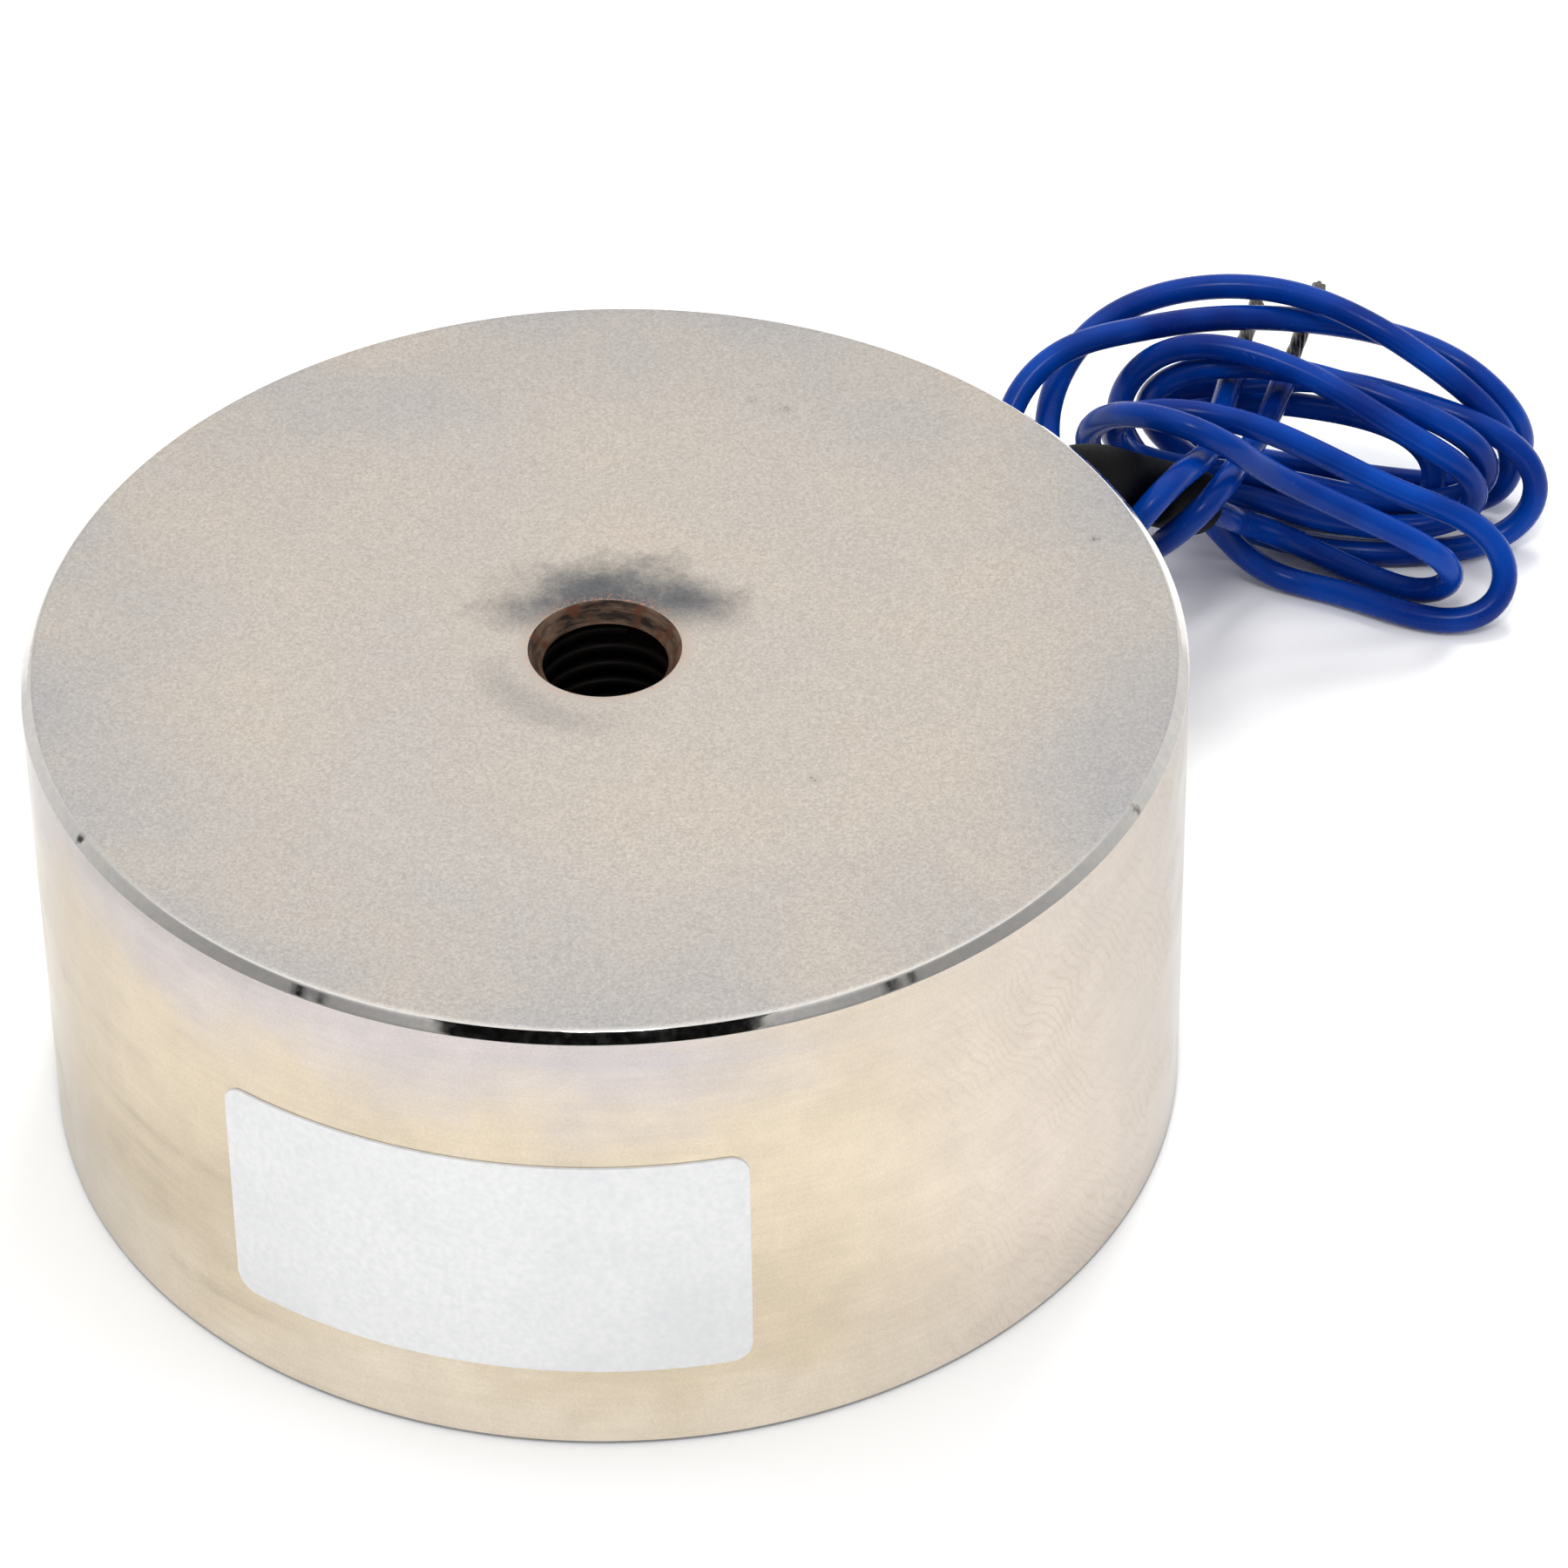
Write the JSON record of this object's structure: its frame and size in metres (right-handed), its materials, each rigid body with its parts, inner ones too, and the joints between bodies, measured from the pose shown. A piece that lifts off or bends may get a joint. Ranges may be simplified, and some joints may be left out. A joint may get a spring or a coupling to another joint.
{
  "type": "holding electromagnet",
  "caption": "Round pot-type holding electromagnet: turned steel pot with a potted coil, a threaded hole in the back face and loose flying leads from a sleeved side outlet.",
  "frame": {"origin": "centre of the holding face, which is the face that the part stands on", "axes": "+Z along the pot's axis, from the holding face to the threaded back face; the side outlet for the leads lies at 48 degrees from +X towards +Y"},
  "size_m": [0.0906, 0.0928, 0.03],
  "materials": {
    "nickel_plated_steel": "satin nickel plating over turned steel",
    "nylon_bobbin": "matt moulded nylon",
    "enamelled_copper": "enamelled wire",
    "polyester_tape": "gloss tape",
    "epoxy_resin": "cast resin",
    "solder": "dull solder",
    "splice_tubing": "matt tubing",
    "black_sleeve": "matt shrink tubing",
    "blue_insulation": "gloss vinyl",
    "tinned_copper": "tinned strands",
    "label_film": "matt white film"
  },
  "bodies": {
    "root": {"pot_body": "nickel_plated_steel", "bobbin": "nylon_bobbin", "coil_winding": "enamelled_copper", "coil_wrap": "polyester_tape", "potting_ring": "epoxy_resin", "start_tail": "enamelled_copper", "finish_tail": "enamelled_copper", "start_splice": "solder", "finish_splice": "solder", "start_splice_tube": "splice_tubing", "finish_splice_tube": "splice_tubing", "exit_sleeve": "black_sleeve", "lead_a": "blue_insulation", "lead_b": "blue_insulation", "lead_a_tip": "tinned_copper", "lead_b_tip": "tinned_copper", "label": "label_film"}
  },
  "joints": []
}
